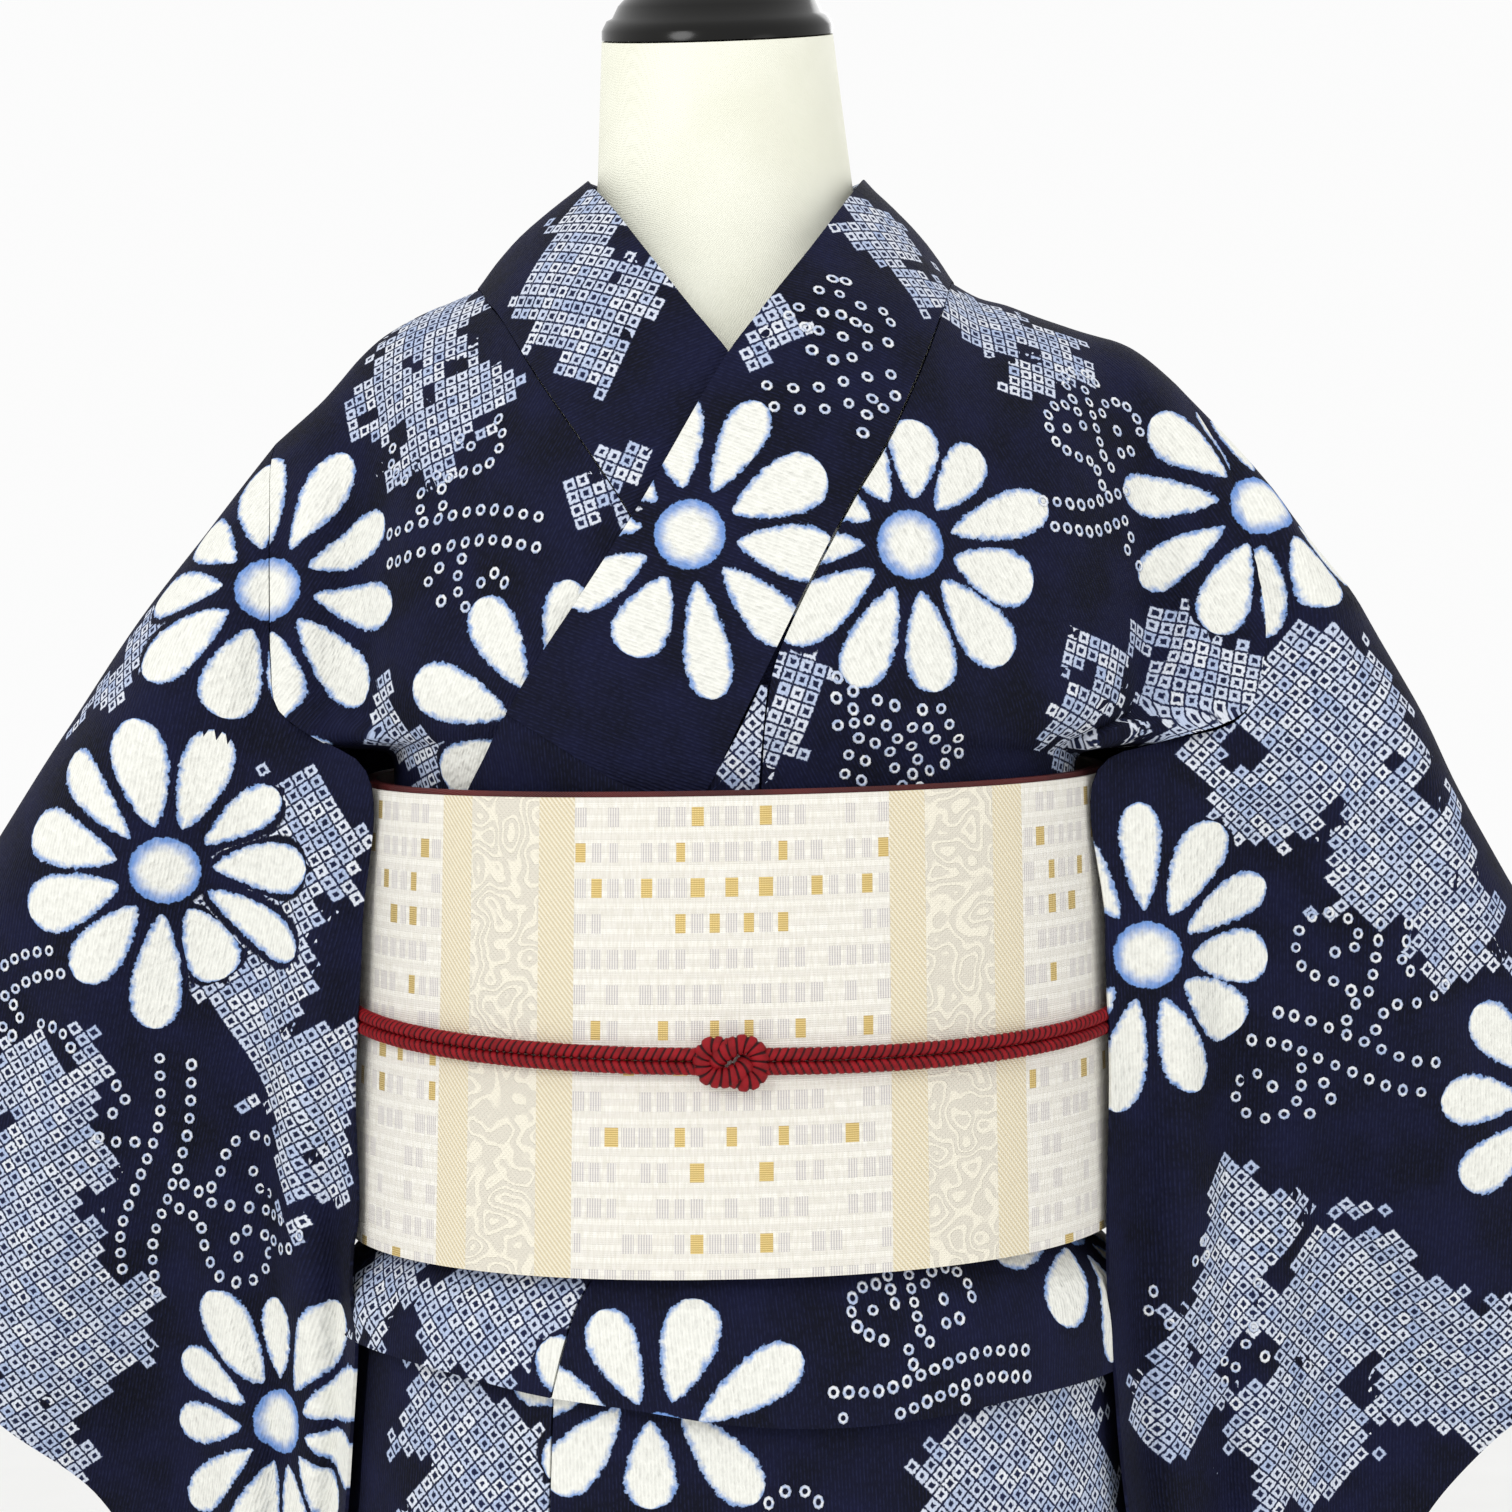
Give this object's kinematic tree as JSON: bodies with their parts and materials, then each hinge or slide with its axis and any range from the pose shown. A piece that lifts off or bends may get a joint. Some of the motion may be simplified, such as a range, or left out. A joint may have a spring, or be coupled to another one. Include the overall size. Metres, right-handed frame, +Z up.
{
  "type": "cotton yukata robe with obi belt on a limbless dress form",
  "caption": "Dressed kimono-style summer robe with wide hanging sleeves, crossed collar, wide tied belt and cord, on a limbless form with a round stand.",
  "frame": {"origin": "centre of the stand's underside, on the floor", "axes": "+Z up; the robe's front faces -Y; +X is the wearer's left"},
  "size_m": [0.723, 0.3659, 1.4445],
  "materials": {
    "navy_cotton": "crinkled navy cotton with tie-dyed white flowers, ringed clouds and vines",
    "white_silk": "off-white woven silk with gold and silver blocks and two woven bands",
    "red_silk": "dark brown-red plain silk",
    "red_cord": "deep red round silk braid",
    "cream_form": "smooth cream cotton cover",
    "black_gloss": "polished black",
    "black_metal": "satin black paint"
  },
  "bodies": {
    "root": {"left_bodice": "navy_cotton", "right_bodice": "navy_cotton", "left_okumi_tip": "navy_cotton", "collar_cover": "navy_cotton", "collar_left_end": "navy_cotton", "collar_right_end": "navy_cotton", "left_sleeve": "navy_cotton", "right_sleeve": "navy_cotton", "skirt_right_okumi": "navy_cotton", "skirt_right_front": "navy_cotton", "skirt_right_back": "navy_cotton", "skirt_left_back": "navy_cotton", "skirt_left_front": "navy_cotton", "skirt_left_okumi": "navy_cotton", "tuck_left_front": "navy_cotton", "tuck_left_okumi": "navy_cotton", "tuck_right_front": "navy_cotton", "tuck_back": "navy_cotton", "obi_outer_turn": "white_silk", "obi_drum": "white_silk", "obi_tail": "white_silk", "obi_hand_end": "white_silk", "obi_under_turn": "red_silk", "cord_upper": "red_cord", "cord_lower": "red_cord", "cord_knot": "red_cord", "dress_form": "cream_form", "neck_cap": "black_gloss", "stand_base": "black_metal", "stand_pole": "black_metal"}
  },
  "joints": []
}
